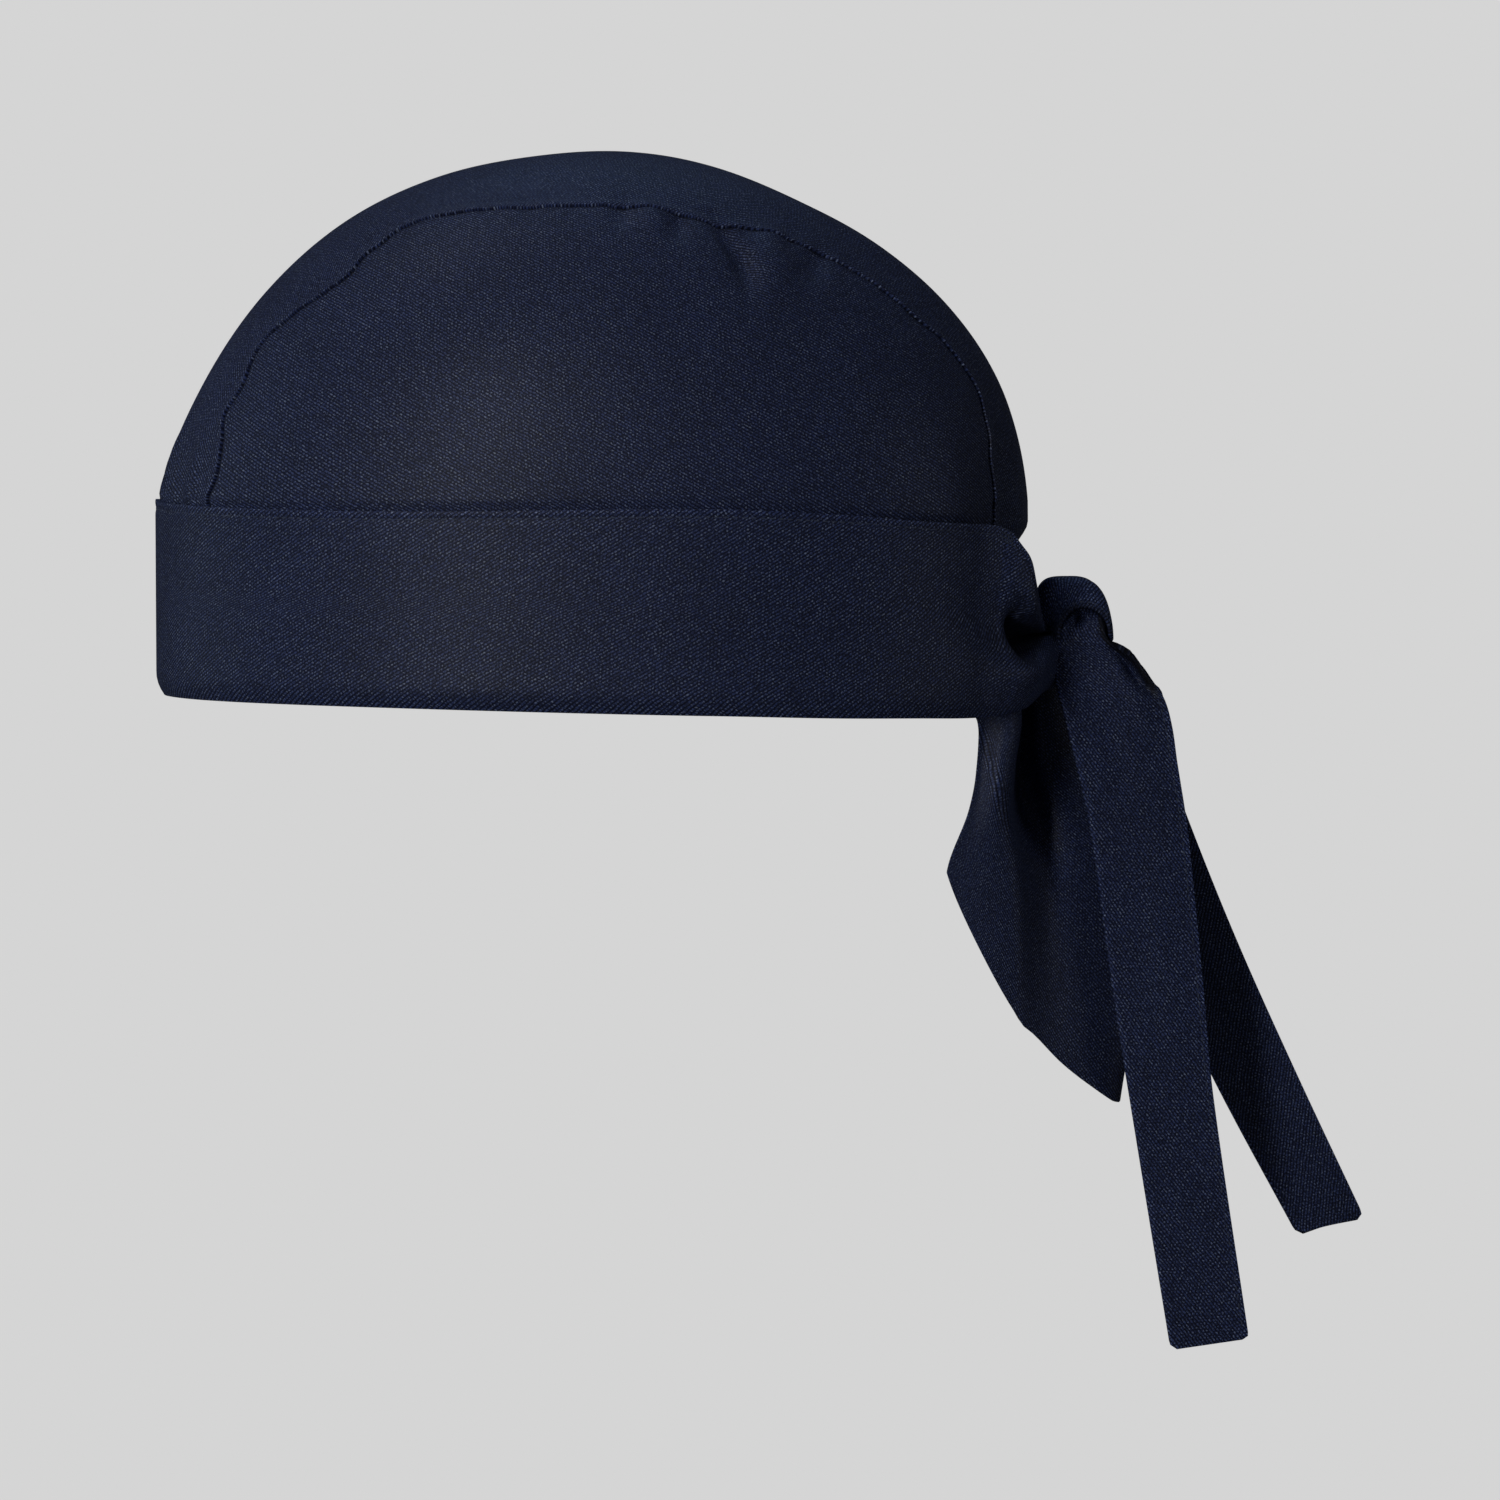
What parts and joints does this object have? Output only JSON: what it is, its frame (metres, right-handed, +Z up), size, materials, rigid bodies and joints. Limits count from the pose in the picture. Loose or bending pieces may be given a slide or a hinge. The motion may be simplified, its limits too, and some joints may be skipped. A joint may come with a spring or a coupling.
{
  "type": "chef skull cap",
  "caption": "Tied cloth skull cap with a wide forehead band, a seamed crown, a pointed tail behind and two hanging ties from a knot.",
  "frame": {"origin": "middle of the head opening, in the plane of the band's lower edge, where the cap sits on a head", "axes": "-Y the way the wearer looks, +X the wearer's left, +Z up through the crown"},
  "size_m": [0.1594, 0.2862, 0.2799],
  "materials": {
    "navy_twill": "dark navy polyester-cotton twill, matt with a faint sheen on the ribs",
    "navy_twill_tie": "the same dark navy twill, folded and stitched into a flat strip"
  },
  "bodies": {
    "root": {"forehead_band": "navy_twill", "centre_panel": "navy_twill", "tail_flap": "navy_twill", "side_panel_left": "navy_twill", "side_panel_right": "navy_twill", "tie_knot": "navy_twill_tie", "tie_left": "navy_twill_tie", "tie_right": "navy_twill_tie"}
  },
  "joints": []
}
